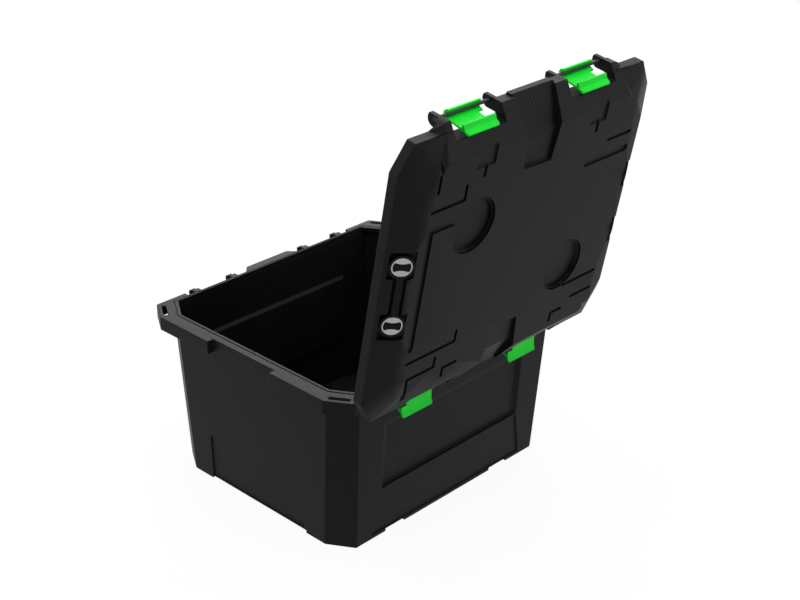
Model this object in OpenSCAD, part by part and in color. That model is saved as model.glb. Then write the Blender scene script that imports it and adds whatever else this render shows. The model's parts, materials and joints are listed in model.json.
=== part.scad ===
// Overland storage box: a moulded tub with a hinged lid, four cam latches that turn on rods,
// and a tie-down bar with two quarter-turn locks on each end of the lid.
// Millimetres. X runs along the hinge, +Y is the hinge side, +Z is up, and the ground is z = 0.

/* [Tub] */
// Height of the rim above the ground
tub_height = 296.5; // [260:0.5:340]
// Length of the walls at the ground
base_length = 494.8; // [470:0.2:500]
// Width of the walls at the ground
base_width = 415; // [395:1:425]
// Length of the walls at the rim
top_length = 515.2; // [505:0.2:520]
// Width of the walls at the rim
top_width = 450.2; // [446:0.2:452]
// Wall thickness of the tub
tub_wall = 3; // [2.4:0.1:3.6]
// Depth along X of the cut corner of the walls
wall_corner = 27.5; // [20:0.5:32]
// Length along Y of a cut corner for each millimetre along X
corner_ratio = 1.625; // [1.5:0.005:1.75]

/* [Rim] */
// How far the rim overhangs the end walls
rim_overhang_end = 22.4; // [19:0.2:25]
// How far the rim overhangs the long walls
rim_overhang_side = 12.5; // [11.5:0.1:13.5]
// Depth of the rim's turned-down edge
rim_depth = 23.6; // [18:0.2:28]
// Depth along X of the rim's cut corner
rim_corner = 25.7; // [20:0.1:30]
// How far the middle of each long rim stands out
rim_step = 5.4; // [4:0.1:5.6]
// How far the rim's inner edge lies inside the end walls' outer faces
rim_inside_end = 9.6; // [6.6:0.2:12]
// How far the rim's inner edge lies inside the long walls' outer faces
rim_inside_side = 2.1; // [1.9:0.1:4]
// Height of the thick band at the top of the end walls
band_height = 16; // [10:1:24]
// Width of the groove in the rim's top
rim_groove_width = 1.8; // [1.2:0.1:2.2]
// Depth of the groove in the rim's top
rim_groove_depth = 1.6; // [0.8:0.1:2]
// Land between the opening and the rim's groove on the ends
rim_land_end = 5.4; // [4:0.2:7]
// Land between the opening and the rim's groove on the long sides
rim_land_side = 2.2; // [1.6:0.1:2.6]
// Length of the hand hold in each end of the rim
hold_length = 147; // [110:1:170]
// How far the rim is set back at the hand hold
hold_depth = 12; // [8:0.5:13]
// Length of the strap slot in each corner of the rim
strap_slot_length = 34; // [26:1:38]
// Width of the strap slot
strap_slot_width = 7; // [5:0.5:8]
// Distance of the strap slot's middle from the rim's cut corner
strap_slot_inset = 10.6; // [9:0.1:13]

/* [Wall fields] */
// Depth of the recessed field in each long wall
field_depth = 6; // [3:0.5:8]
// Length of the recessed field
field_length = 336; // [300:2:350]
// Width of the bevel round the recessed field
field_bevel = 9; // [5:0.5:12]
// Height of the ledge under the recessed field
field_low = 94; // [80:1:110]
// Height of the recessed field's top
field_high = 219; // [190:1:228]
// Depth of the shallow field below the ledge and on the ends
low_field_depth = 2.5; // [1:0.1:4]
// Length of the shallow field at its foot
low_field_length = 368; // [330:2:380]
// Width of the shallow field on the ends
end_field_width = 230; // [190:2:250]
// Height of the ends' shallow field
end_field_high = 88; // [70:1:110]
// Height of the foot below the shallow fields
field_foot = 7; // [5:0.5:12]

/* [Feet] */
// Length of the middle pad under the tub
pad_length = 214; // [180:2:230]
// Distance between the corner feet along X
feet_gap_x = 304; // [290:2:320]
// Distance between the corner feet along Y
feet_gap_y = 236; // [200:2:260]
// Height of the channels between the feet
foot_height = 6; // [4:0.5:8]

/* [Hinge and latch rods] */
// Distance of the rods outside the rim's sides
rod_out = 4.4; // [4:0.1:4.8]
// Depth of the rods below the rim's top
rod_drop = 14.3; // [14:0.1:14.8]
// Diameter of the rods
rod_diameter = 6; // [5:0.1:6.4]
// Running clearance round a rod, on the radius
rod_fit = 0.1; // [0.05:0.01:0.15]
// Clearance of a rod in the tub's saddles, on the radius
saddle_fit = 0.4; // [0.3:0.05:0.6]
// How far the lid stands open, from closed
lid_open = 100.3884; // [95:0.0001:104]

/* [Latch sites] */
// Distance of each latch from the middle of the box
site_x = 127.3; // [126:0.1:129]
// Length of the gap in the rim's edge at a latch
site_length = 131; // [128:1:134]
// Depth of the gap in the rim's edge at a latch
site_depth = 9.1; // [8.6:0.1:9.6]
// Lean of the gap's end toward the middle of the box
site_lean = 44; // [30:1:50]
// Clear length between the two lugs of a latch
lug_gap = 71.5; // [71:0.1:72.5]
// Width of a lug
lug_width = 12; // [8:0.2:16.6]
// How far a lug reaches beyond the rod
lug_reach = 8; // [6.5:0.1:9]
// Height of a lug below the rod
lug_drop = 12; // [10:0.5:16]
// Height of a lug's inner horn above the rod
horn_height = 14; // [12:0.2:14.4]
// Height of a lug's outer wall above the rod
lug_rise = 10; // [6:0.2:11]
// Depth of the keeper's underside below the rods
keeper_drop = 28.5; // [26:0.5:31]
// Thickness of the keeper
keeper_thickness = 4; // [3:0.1:6]
// Distance of the keeper's edge outside the rod's plane
keeper_reach = 0.8; // [0:0.1:1.5]

/* [Lid] */
// Height of the closed lid above the rim's top
lid_height = 40.5; // [38:0.5:44]
// Gap between the rim and the closed lid
lid_gap = 0.5; // [0.4:0.1:0.9]
// Height of the lid's upright edge
lid_edge = 17; // [13:0.5:19]
// How far the lid's ends stand out past the rim
lid_past_end = 3; // [1:0.2:5]
// How far the lid's plain edge lies inside the rim's side
lid_inside_side = 0.3; // [0.1:0.1:2]
// Depth along X of the lid's cut corner
lid_corner = 26.2; // [22:0.2:31]
// How far the flat top's ends lie inside the lid's ends
panel_in_end = 32.5; // [30:0.5:38]
// How far the flat top's sides lie inside the lid's plain edge
panel_in_side = 49.8; // [46:0.2:54]
// Depth along X of the flat top's cut corner
panel_corner = 22.4; // [18:0.2:26]
// Thickness of the lid's flat top
panel_thickness = 5; // [4.6:0.1:6]
// Wall thickness of the lid
lid_wall = 3; // [2.4:0.1:3.2]
// Height of the locating rib under the lid, below its edge
lid_rib_depth = 4.5; // [2:0.5:5]
// Gap between the locating rib and the opening
lid_rib_gap = 4; // [3:0.5:6]
// Depth of the ribs under the flat top
stiffener_depth = 14; // [8:1:20]
// Thickness of the ribs under the flat top
stiffener_thickness = 2.4; // [1.8:0.2:3]

/* [Lid's raised sides] */
// How far the raised side's top edge lies outside the flat top
raised_run = 14.5; // [10:0.5:18]
// How far the raised side's outer face stands out past the lid's edge
raised_out = 11; // [10.5:0.1:11.7]
// Height of the outer face's top below the lid's top
raised_fall = 31.3; // [28:0.5:34]
// How far the outer face hangs below the lid's edge
raised_hang = 7.5; // [5:0.5:8]
// Length of the raised side past the last ear, at its free edge
raised_past = 4; // [3:0.5:8]
// How much further the raised side reaches at its top edge
raised_taper = 16; // [13:1:19]
// How much further the raised side reaches at its foot
raised_spread = 22; // [19:1:26]
// Lean of the raised side's ends
raised_lean = 60; // [45:1:65]
// How far the upright cut of the ends draws the outer face in
raised_trim = 1; // [0.5:0.5:2.5]

/* [Lid's latch notches] */
// Length of a latch notch
notch_length = 106.3; // [105.6:0.1:107]
// Depth of a latch notch inside the lid's plain edge
notch_depth = 12.8; // [12.3:0.1:14.3]
// Thickness of an ear that carries a rod
ear_thickness = 7.5; // [6:0.1:8]
// Radius of an ear round its rod
ear_radius = 12.4; // [11:0.1:12.6]

/* [Lid's recesses] */
// Diameter of the round recesses
round_diameter = 92; // [70:1:98]
// Depth of the round recesses
round_depth = 8; // [4:0.5:10]
// Width of the step in a round recess
round_step = 4; // [2:0.5:7]
// Distance of the round recesses from the middle along X
round_x = 125.6; // [112:0.2:132]
// Distance of the round recesses from the middle along Y
round_y = 78.5; // [70:0.5:84]
// Width of the grooves in the flat top
groove_width = 6; // [4:0.5:8]
// Width of the long grooves
long_groove_width = 12; // [6:0.5:14]
// Depth of the grooves
groove_depth = 3; // [1:0.1:3.2]
// Half width of the label recess at its inner end
label_half_in = 31; // [24:1:34]
// Half width of the label recess at the free edge
label_half_out = 46; // [40:1:50]
// How far the label recess reaches into the flat top
label_reach = 46.5; // [38:0.5:54]
// Distance of the label recess's bend outside the flat top
label_bend = 0.5; // [-5:0.5:4]
// Depth of the label recess at its inner end
label_depth_in = 5; // [3:0.5:7]
// Depth of the label recess at its bend
label_depth = 7; // [6:0.5:11]
// How far the label recess's free edge stands out
label_lip = 2.6; // [1.5:0.1:3.5]
// Diameter of the small hole in the label recess
label_hole = 4; // [3:0.2:6]

/* [Latches] */
// Length of a latch along its rod
latch_length = 68; // [64:0.5:69]
// Radius of the latch's roll round the rod
roll_radius = 7.5; // [6.5:0.1:8]
// Length of the lever below the rod
lever_length = 43.7; // [40:0.1:46]
// Distance of the lever's outer face from the rod
lever_face = 8; // [7.6:0.1:8.4]
// Thickness of the lever
lever_thickness = 3; // [2.4:0.1:3.4]
// Depth of the lever's cut corners
lever_corner = 5; // [3:0.5:9]
// Length of the finger lip along the lever
lip_length = 8; // [5:0.5:9]
// How far the finger lip stands out
lip_flare = 3; // [1.5:0.1:3.6]
// Length of the window between roll and catch, at one end
window_length = 11; // [8:0.5:18]
// Height of the window
window_height = 17; // [12:0.5:19]
// Distance of the window's top below the rod's middle
window_drop = 8.4; // [8:0.1:9]
// How far the mouth of the roll starts below the rod's middle
mouth_drop = 0.6; // [0.4:0.1:2]
// Thickness of the catch
catch_thickness = 3; // [2.4:0.1:4]
// Play between the catch and its keeper
catch_play = 0.5; // [0.3:0.1:1]
// How far the catch reaches past the rod's plane
catch_reach = 1.5; // [1.2:0.1:3]
// How far an open front latch turns from locked
front_latch_turn = 186.3; // [182:0.1:187]

/* [End tie-downs] */
// Room round a boss in its pocket
pocket_room = 1; // [0.5:0.1:3]
// Depth of the pockets
pocket_depth = 9; // [7:0.5:10]
// Distance of the pockets' middle down the slope
pocket_down = 12.6; // [11:0.2:15]
// Distance of a lock from the middle of the end
lock_y = 50; // [46:0.5:54]
// How far a pocket runs on past its boss toward the next corner
pocket_past = 5.5; // [3:0.5:8]
// Width of the slot on each side of the bar
bar_slot = 4.6; // [3:0.2:6]
// Diameter of the bar's round bosses
boss_diameter = 38.6; // [36:0.2:39]
// Depth of the bosses' faces below the slope
boss_below = 0.8; // [0:0.1:2]
// Depth of the discs below the bosses' faces
disc_below = 0.5; // [0.3:0.1:1.5]
// Width of the tie-down bar
bar_width = 10.5; // [8:0.5:14]
// Thickness of the tie-down bar
bar_thickness = 4.5; // [3:0.1:6]
// Diameter of a lock's metal disc
disc_diameter = 31; // [29:0.5:33]
// Thickness of a lock's metal disc
disc_thickness = 3; // [2:0.1:4]
// Length of a lock's grip
grip_length = 26.4; // [24:0.2:27]
// Width of a lock's grip at its ends
grip_width = 14; // [12:0.2:15]
// Width of a lock's grip at its waist
grip_waist = 10.4; // [9.6:0.2:11.6]
// Depth of the finger slots in a grip
grip_slot_depth = 1.2; // [0.6:0.1:1.4]
// Diameter of a lock's shank
shank_diameter = 9; // [7:0.5:10]
// Diameter of the clip that keeps a lock in place
clip_diameter = 17; // [14:0.5:20]
// Thickness of the clip
clip_thickness = 2; // [1.5:0.1:3]

/* [Hidden] */
$fn = 72;

// overrun of every cut, and the fine gap between pieces that lie against each other
over = 20;
seat = 0.2;

// overall sizes of the rim, its opening, the lid and the lid's flat top
rim_length = top_length + 2 * rim_overhang_end;
rim_width = top_width + 2 * rim_overhang_side;
opening_length = top_length - 2 * rim_inside_end;
opening_width = top_width - 2 * rim_inside_side;
lid_length = rim_length + 2 * lid_past_end;
lid_width = rim_width - 2 * lid_inside_side;
panel_length = lid_length - 2 * panel_in_end;
panel_width = lid_width - 2 * panel_in_side;

// half sizes of the walls, the rim and the lid: length, width and corner depth
wall_base = [base_length / 2, base_width / 2, wall_corner];
wall_top = [top_length / 2, top_width / 2, wall_corner];
rim_half = [rim_length / 2, rim_width / 2, rim_corner];
opening_half = [opening_length / 2, opening_width / 2, wall_corner];
lid_half = [lid_length / 2, lid_width / 2, lid_corner];
panel_half = [panel_length / 2, panel_width / 2, panel_corner];

// distances from the box's middle plane: the rods, the rim's lip at a latch, the notches, the
// raised sides and the label recesses
rod_y = rim_half[1] + rod_out;
site_lip_y = rim_half[1] - site_depth;
notch_y = lid_half[1] - notch_depth;
raised_top_y = panel_half[1] + raised_run;
raised_face_y = lid_half[1] + raised_out;
label_inner_y = panel_half[1] - label_reach;
label_bend_y = panel_half[1] + label_bend;
raised_half_free = site_x + notch_length / 2 + ear_thickness + raised_past;
raised_half = raised_half_free + raised_taper;
raised_half_foot = raised_half_free + raised_spread;

// heights of the rods, and of the closed lid's edge, upper edge and top
rod_z = tub_height - rod_drop;
lid_z = tub_height + lid_gap;
lid_edge_z = lid_z + lid_edge;
lid_top_z = tub_height + lid_height;
rod_radius = rod_diameter / 2;

// lean of the tub's long walls and its end walls
side_lean = atan2(wall_top[1] - wall_base[1], tub_height);
end_lean = atan2(wall_top[0] - wall_base[0], tub_height);

// slope of the lid's ends and its length
end_slope = atan2(lid_top_z - lid_edge_z, lid_half[0] - panel_half[0]);
end_slope_length = norm([lid_top_z - lid_edge_z, lid_half[0] - panel_half[0]]);
raised_slope = atan2(raised_fall, raised_face_y - raised_top_y);
raised_slope_length = norm([raised_fall, raised_face_y - raised_top_y]);
raised_splay = atan2(raised_half - raised_half_free, raised_slope_length);
// distance at which the upright cut of the raised side's ends passes the foot
foot_pass = 0.6;
raised_trim_turn = atan2(raised_half_foot + foot_pass - raised_half_free + raised_trim,
                         raised_face_y - lid_half[1]);
raised_low_z = lid_z - raised_hang;
raised_high_z = lid_top_z - raised_fall;

// direction that a cut corner faces, and its distance from the middle
corner_turn = atan2(1, corner_ratio);
function corner_reach(half) =
    (half[0] * corner_ratio + half[1] - corner_ratio * half[2]) / norm([corner_ratio, 1]);
// the same outline drawn in by a wall
function drawn_in(half, wall) =
    [half[0] - wall, half[1] - wall,
     half[2] - wall * (1 + 1 / corner_ratio - norm([corner_ratio, 1]) / corner_ratio)];
// the tub walls' outline at a height
function wall_at(z) = wall_base + (wall_top - wall_base) * z / tub_height;

// Pair of faces that look along X before turning. Each level is a height and a distance from
// the middle, and the pair runs on past its first and last level unless it is capped
module face_pair(turn, levels, reach, capped) {
    last = len(levels) - 1;
    foot = levels[0] - (levels[1] - levels[0]) / (levels[1][0] - levels[0][0]) * over;
    head = levels[last] + (levels[last] - levels[last - 1])
        / (levels[last][0] - levels[last - 1][0]) * over;
    points = [for (i = [0 : last]) capped ? levels[i] : i == 0 ? foot : i == last ? head : levels[i]];
    rotate([0, 0, turn])
        rotate([90, 0, 0])
            linear_extrude(height = 2 * reach, center = true)
                polygon(concat([for (p = points) [p[1], p[0]]],
                               [for (i = [len(points) - 1 : -1 : 0]) [-points[i][1], points[i][0]]]));
}

// Block with cut corners; each level is a height and an outline of half sizes
module levelled_block(heights, halves) {
    reach = 2 * (halves[0][0] + halves[0][1]);
    count = [0 : len(heights) - 1];
    intersection() {
        face_pair(90, [for (i = count) [heights[i], halves[i][1]]], reach, true);
        face_pair(0, [for (i = count) [heights[i], halves[i][0]]], reach, false);
        face_pair(corner_turn, [for (i = count) [heights[i], corner_reach(halves[i])]], reach, false);
        face_pair(-corner_turn, [for (i = count) [heights[i], corner_reach(halves[i])]], reach, false);
    }
}
module sloped_block(low, high, z_low, z_high) {
    levelled_block([z_low, z_high], [low, high]);
}

// Closed ring with upright faces between two heights
module ring_block(outer, inner, z_low, z_high) {
    difference() {
        sloped_block(outer, outer, z_low, z_high);
        sloped_block(inner, inner, z_low - over, z_high + over);
    }
}

// Outline in the YZ plane drawn out along X between two places
module along_x(x_low, x_high) {
    translate([x_low, 0, 0])
        rotate([90, 0, 90])
            linear_extrude(height = x_high - x_low)
                children();
}

// Copies on both long sides, and on both ends
module both_sides() {
    children();
    mirror([0, 1, 0]) children();
}
module both_ends() {
    children();
    mirror([1, 0, 0]) children();
}

// TUB
// Frame that lies on a long wall, with Z up the wall
module on_side() {
    translate([0, wall_base[1], 0]) rotate([-side_lean, 0, 0]) children();
}
// Frame that lies on the end wall, with its own X to the right
module on_end() {
    translate([wall_base[0], 0, 0]) rotate([0, end_lean, 0]) rotate([0, 0, -90]) children();
}

// Field with bevelled sides and top, cut into a wall; grow makes the wall behind it
module bevelled_field(length, z_low, z_high, depth, bevel, grow) {
    half = length / 2 + grow;
    inner = half - bevel;
    intersection() {
        translate([0, 0, z_low - grow])
            linear_extrude(height = z_high - z_low + 2 * grow)
                polygon([[-half - over, over], [-half - over, grow], [-half, grow],
                         [-inner, -depth - grow], [inner, -depth - grow], [half, grow],
                         [half + over, grow], [half + over, over]]);
        along_x(-half, half)
            polygon([[over, z_low - grow], [-depth - grow, z_low - grow],
                     [-depth - grow, z_high + grow - bevel], [grow, z_high + grow],
                     [over, z_high + grow]]);
    }
}

// Shallow field that widens toward its foot
module flared_field(length_low, length_high, z_low, z_high, depth, grow) {
    low = length_low / 2 + grow;
    high = length_high / 2 + grow;
    translate([0, over, 0])
        rotate([90, 0, 0])
            linear_extrude(height = over + depth + grow)
                polygon([[-low, z_low - grow], [low, z_low - grow],
                         [high, z_high + grow], [-high, z_high + grow]]);
}

// All fields of the walls
module wall_fields(grow) {
    both_sides()
        on_side() {
            bevelled_field(field_length, field_low, field_high, field_depth, field_bevel, grow);
            flared_field(low_field_length, field_length, field_foot, field_low - field_bevel / 2,
                         low_field_depth, grow);
        }
    both_ends()
        on_end()
            flared_field(end_field_width, end_field_width, field_foot, end_field_high,
                         low_field_depth, grow);
}

// Channels under the tub between the middle pad and the corner feet
module under_channels(grow) {
    high = foot_height + grow;
    both_ends() {
        translate([pad_length / 2 - grow, -base_width, -over])
            cube([(feet_gap_x - pad_length) / 2 + 2 * grow, 2 * base_width, over + high]);
        translate([feet_gap_x / 2, -feet_gap_y / 2 - grow, -over])
            cube([base_length, feet_gap_y + 2 * grow, over + high]);
    }
}

// Inside of the tub
module tub_cavity() {
    band_z = tub_height - band_height;
    difference() {
        levelled_block([tub_wall, band_z, band_z + band_height / 2, tub_height + over],
                       [drawn_in(wall_base, tub_wall), drawn_in(wall_at(band_z), tub_wall),
                        opening_half, opening_half]);
        wall_fields(tub_wall);
        under_channels(tub_wall);
    }
}

// Rim with its turned-down edge, seen as a solid before the hollow is taken out
module rim_solid(inset, z_low, z_high) {
    half = drawn_in(rim_half, inset);
    middle = site_x - site_length / 2;
    sloped_block(half, half, z_low, z_high);
    translate([-middle + inset, -rim_half[1] - rim_step + inset, z_low])
        cube([2 * (middle - inset), rim_width + 2 * (rim_step - inset), z_high - z_low]);
}

// Hand hold: the space in front of the set-back edge
module hold_space(inset) {
    both_ends()
        translate([rim_half[0] - hold_depth - inset, -hold_length / 2 - inset, 0])
            cube([hold_depth + over, hold_length + 2 * inset, tub_height + over]);
}

// Space for one latch in the rim's edge
module site_space(lip_y) {
    near = site_x - site_length / 2;
    far = site_x + site_length / 2;
    translate([0, 0, -over])
        linear_extrude(height = tub_height + 2 * over)
            polygon([[near, lip_y], [far, lip_y], [far, lip_y + over],
                     [near - over * tan(site_lean), lip_y + over]]);
}

// Lugs of one latch, as an outline with an open saddle for the rod
module lug_outline() {
    saddle = rod_radius + saddle_fit;
    root = wall_at(rod_z - keeper_drop)[1] - tub_wall / 2;
    difference() {
        polygon([[root, rod_z - keeper_drop], [rod_y + keeper_reach, rod_z - keeper_drop],
                 [rod_y + lug_reach, rod_z - lug_drop], [rod_y + lug_reach, rod_z + lug_rise],
                 [rod_y - saddle, rod_z + lug_rise], [rod_y - saddle, rod_z + horn_height],
                 [site_lip_y - tub_wall, rod_z + horn_height], [root, rod_z]]);
        translate([rod_y, rod_z]) circle(r = saddle);
        translate([rod_y - saddle, rod_z]) square([2 * saddle, horn_height + over]);
    }
}

// Keeper between the lugs, which the latch's catch takes hold of
module keeper_outline() {
    low = rod_z - keeper_drop;
    root = wall_at(low)[1] - tub_wall / 2;
    polygon([[root, low], [rod_y + keeper_reach, low],
             [rod_y + keeper_reach, low + keeper_thickness], [root, low + 2 * keeper_thickness]]);
}

module latch_sites() {
    both_ends()
        both_sides() {
            along_x(site_x - lug_gap / 2 - lug_width, site_x - lug_gap / 2) lug_outline();
            along_x(site_x + lug_gap / 2, site_x + lug_gap / 2 + lug_width) lug_outline();
            along_x(site_x - lug_gap / 2 - lug_width, site_x + lug_gap / 2 + lug_width)
                keeper_outline();
        }
}

// Strap slots through the rim's corners, each along the middle of its cut corner
module strap_slots() {
    both_ends()
        both_sides()
            translate([rim_half[0] - rim_half[2] / 2, rim_half[1] - rim_half[2] * corner_ratio / 2,
                       tub_height - tub_wall - over])
                rotate([0, 0, corner_turn])
                    translate([-strap_slot_inset - strap_slot_width / 2, -strap_slot_length / 2, 0])
                        cube([strap_slot_width, strap_slot_length, 2 * over]);
}

// Groove that runs round the rim's top
module rim_groove() {
    outer = [opening_half[0] + rim_land_end + rim_groove_width,
             opening_half[1] + rim_land_side + rim_groove_width, wall_corner];
    inner = [outer[0] - rim_groove_width, outer[1] - rim_groove_width, wall_corner];
    ring_block(outer, inner, tub_height - rim_groove_depth, tub_height + over);
}

module tub_shell() {
    color([0.05, 0.05, 0.055])
    difference() {
        union() {
            // walls, and the rim's plate and turned-down edge
            difference() {
                union() {
                    sloped_block(wall_base, wall_top, 0, tub_height);
                    difference() {
                        rim_solid(0, tub_height - rim_depth, tub_height);
                        hold_space(0);
                        both_ends() both_sides() site_space(site_lip_y);
                        // hollow under the rim
                        difference() {
                            rim_solid(tub_wall, tub_height - rim_depth - over,
                                      tub_height - tub_wall);
                            hold_space(tub_wall);
                            both_ends() both_sides() site_space(site_lip_y - tub_wall);
                        }
                    }
                }
                wall_fields(0);
                under_channels(0);
            }
            latch_sites();
        }
        tub_cavity();
        strap_slots();
        rim_groove();
    }
}

// LID
// The closed lid's place and its open place at rest
module lid_at_rest() {
    translate([0, rod_y, rod_z])
        rotate([-lid_open, 0, 0])
            translate([0, -rod_y, -rod_z])
                children();
}

// Frame on the lid's end slope: X down the slope, Z out of it
module on_end_slope() {
    translate([panel_half[0], 0, lid_top_z]) rotate([0, end_slope, 0]) children();
}

// Raised side of the lid; inset draws it in for the hollow
module raised_side(inset, top_inset) {
    half = raised_half_foot - inset;
    face = raised_face_y - inset;
    face_z = raised_high_z - inset * tan((90 - raised_slope) / 2);
    top_z = lid_top_z - top_inset;
    low = inset > 0 ? over : 0;
    difference() {
        along_x(-half, half)
            polygon([[0, top_z], [face - (top_z - face_z) / tan(raised_slope), top_z],
                     [face, face_z], [face, raised_low_z - low],
                     [face - lid_wall, raised_low_z - low], [face - lid_wall, lid_z - low],
                     [0, lid_z - low]]);
        // leaning ends
        both_ends()
            translate([0, raised_top_y, lid_top_z])
                rotate([-raised_slope, 0, 0])
                    translate([raised_half - inset, 0, 0])
                        rotate([0, 0, raised_splay])
                            rotate([0, -raised_lean, 0])
                                translate([0, -lid_width, -lid_width])
                                    cube([lid_width, 2 * lid_width, 2 * lid_width]);
        // upright cut from the outer face back to the foot
        both_ends()
            translate([raised_half_free - raised_trim, raised_face_y, 0])
                rotate([0, 0, raised_trim_turn])
                    translate([-inset, -lid_width, 0])
                        cube([lid_width, 2 * lid_width, 2 * lid_top_z]);
    }
}

// Lid without its details; inset draws it in for the hollow
module lid_body(inset, top_inset) {
    low = inset > 0 ? lid_z - over : lid_z;
    edge_z = lid_edge_z - inset * tan((90 - end_slope) / 2);
    outer = drawn_in(lid_half, inset);
    upper = drawn_in(panel_half, inset * tan(end_slope / 2));
    levelled_block([low, edge_z, lid_top_z - top_inset], [outer, outer, upper]);
    both_sides() raised_side(inset, top_inset);
}

// Recesses that are deeper than the lid's wall; grow makes the wall round them
module deep_recesses(grow) {
    // round recesses with a step
    for (side = [-1, 1])
        translate([side * round_x, -side * round_y, 0]) {
            translate([0, 0, lid_top_z - round_depth - grow])
                cylinder(r = round_diameter / 2 - round_step + grow, h = over + round_depth);
            translate([0, 0, lid_top_z - round_depth / 2 - grow])
                cylinder(r = round_diameter / 2 + grow, h = over + round_depth / 2);
        }
    // label recesses that run down to the free edges
    both_sides() label_channel(grow);
    // pockets of the tie-down bars
    both_ends()
        on_end_slope()
            translate([pocket_down, 0, -pocket_depth - grow])
                linear_extrude(height = pocket_depth + grow + over)
                    pocket_outline(grow);
}

// Two wide pockets joined by a narrow one
module pocket_outline(grow) {
    half = boss_diameter / 2 + pocket_room + grow;
    end = lock_y + boss_diameter / 2 + pocket_past + grow;
    inner = lock_y - half;
    narrow = bar_width / 2 + bar_slot + grow;
    for (side = [-1, 1])
        polygon([[-half, side * inner], [half, side * inner], [half, side * end], [-half, side * end]]);
    translate([-narrow, -lock_y]) square([2 * narrow, 2 * lock_y]);
}

label_out_y = raised_face_y + label_lip;
label_floor_out = raised_high_z - label_depth;
module label_channel(grow) {
    fall = (lid_top_z - label_depth - label_floor_out) / (label_out_y - label_bend_y);
    spread = (label_half_out - label_half_in) / (label_out_y - label_inner_y);
    wide = label_half_out + grow + over * spread;
    intersection() {
        along_x(-label_half_out - over, label_half_out + over)
            polygon([[label_inner_y - grow, lid_top_z + over],
                     [label_inner_y - grow, lid_top_z - label_depth_in - grow],
                     [label_bend_y - grow / 2, lid_top_z - label_depth - grow],
                     [label_out_y + over, label_floor_out - grow - over * fall],
                     [label_out_y + over, lid_top_z + over]]);
        translate([0, 0, raised_low_z - over])
            linear_extrude(height = lid_top_z - raised_low_z + 2 * over)
                polygon([[-label_half_in - grow, label_inner_y - grow - seat],
                         [label_half_in + grow, label_inner_y - grow - seat],
                         [wide, label_out_y + over], [-wide, label_out_y + over]]);
    }
}

// Free edge of the label recess, which stands out a little
module label_edge() {
    along_x(-label_half_out, label_half_out)
        polygon([[raised_face_y - lid_wall / 2, raised_low_z], [label_out_y, raised_low_z],
                 [label_out_y, raised_high_z - label_depth / 2],
                 [raised_face_y - lid_wall / 2, raised_high_z - label_depth / 2]]);
}

// Outline of a groove along a line of places, with round ends; places are shares of the flat
// top's half sizes
module groove_outline(place_shares, width) {
    places = [for (p = place_shares) [p[0] * panel_half[0], p[1] * panel_half[1]]];
    for (p = places)
        translate([p[0], p[1]]) circle(r = width / 2);
    for (i = [0 : len(places) - 2]) {
        step = places[i + 1] - places[i];
        translate([places[i][0], places[i][1]])
            rotate([0, 0, atan2(step[1], step[0])])
                translate([0, -width / 2])
                    square([norm(step), width]);
    }
}

short_groove_shares = [
    [[0.90, -0.70], [0.63, -0.70], [0.63, -0.82]],
    [[0.89, 0.69], [0.47, 0.69], [0.47, 0.59]],
    [[0.86, 1.0], [0.86, 0.86], [0.63, 0.86], [0.63, 0.77]],
    [[0.54, 1.0], [0.54, 0.92], [0.42, 0.92]],
    [[-0.50, 1.0], [-0.50, 0.92], [-0.60, 0.92]],
    [[-0.69, 0.84], [-0.885, 0.84]],
    [[-0.565, 0.66], [-0.89, 0.66]],
    [[-0.69, -0.715], [-0.91, -0.715]],
    [[0.873, -0.99], [0.873, -0.857]]];
long_groove_shares = [
    [[0.67, -0.53], [0.88, -0.53], [0.88, 0.55]],
    [[-0.51, -0.56], [-0.90, -0.56]]];
// shallow ledges at the front edge of the flat top: two ends along X, and the inner edge
ledge_shares = [[0.41, 0.567, -0.933], [-0.611, -0.455, -0.933]];
tick_share = 0.08;

module top_grooves() {
    translate([0, 0, lid_top_z - groove_depth])
        linear_extrude(height = groove_depth + over) {
            for (line = short_groove_shares) groove_outline(line, groove_width);
            for (line = long_groove_shares) groove_outline(line, long_groove_width);
            for (ledge = ledge_shares) {
                middle = (ledge[0] + ledge[1]) / 2;
                translate([ledge[0] * panel_half[0], -raised_face_y - over])
                    square([(ledge[1] - ledge[0]) * panel_half[0],
                            raised_face_y + over + ledge[2] * panel_half[1]]);
                groove_outline([[middle, ledge[2]], [middle, ledge[2] + tick_share]],
                               groove_width);
            }
        }
}

// Top of a notch's wall, inside the thickness of the raised side
notch_wall_top = raised_high_z - lid_wall / 2
    + (raised_face_y - notch_y) * tan(raised_slope);

// Ear that carries the rods, as an outline with the rod's seat
module ear_outline() {
    difference() {
        union() {
            intersection() {
                translate([rod_y, rod_z]) circle(r = ear_radius);
                translate([rod_y - ear_radius, rod_z - ear_radius])
                    square([ear_radius + raised_face_y - rod_y, 2 * ear_radius]);
            }
            polygon([[rod_y - ear_radius, rod_z], [raised_face_y, rod_z],
                     [raised_face_y, raised_high_z - lid_wall / 2],
                     [notch_y - lid_wall, notch_wall_top], [notch_y - lid_wall, lid_z],
                     [rod_y - ear_radius, lid_z]]);
        }
        translate([rod_y, rod_z]) circle(r = rod_radius + seat / 4);
    }
}

module ears() {
    both_ends()
        both_sides()
            for (x = [site_x - notch_length / 2 - ear_thickness, site_x + notch_length / 2])
                along_x(x, x + ear_thickness) ear_outline();
}

// Wall that closes the lid behind a notch
module notch_wall() {
    both_ends()
        both_sides()
            along_x(site_x - notch_length / 2 - ear_thickness,
                    site_x + notch_length / 2 + ear_thickness)
                polygon([[notch_y - lid_wall, lid_z], [notch_y, lid_z],
                         [notch_y, notch_wall_top], [notch_y - lid_wall, notch_wall_top]]);
}

module notch_spaces() {
    both_ends()
        both_sides()
            along_x(site_x - notch_length / 2, site_x + notch_length / 2)
                translate([notch_y, lid_z - over])
                    square([over + raised_face_y - notch_y, lid_height + 2 * over]);
}

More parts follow.
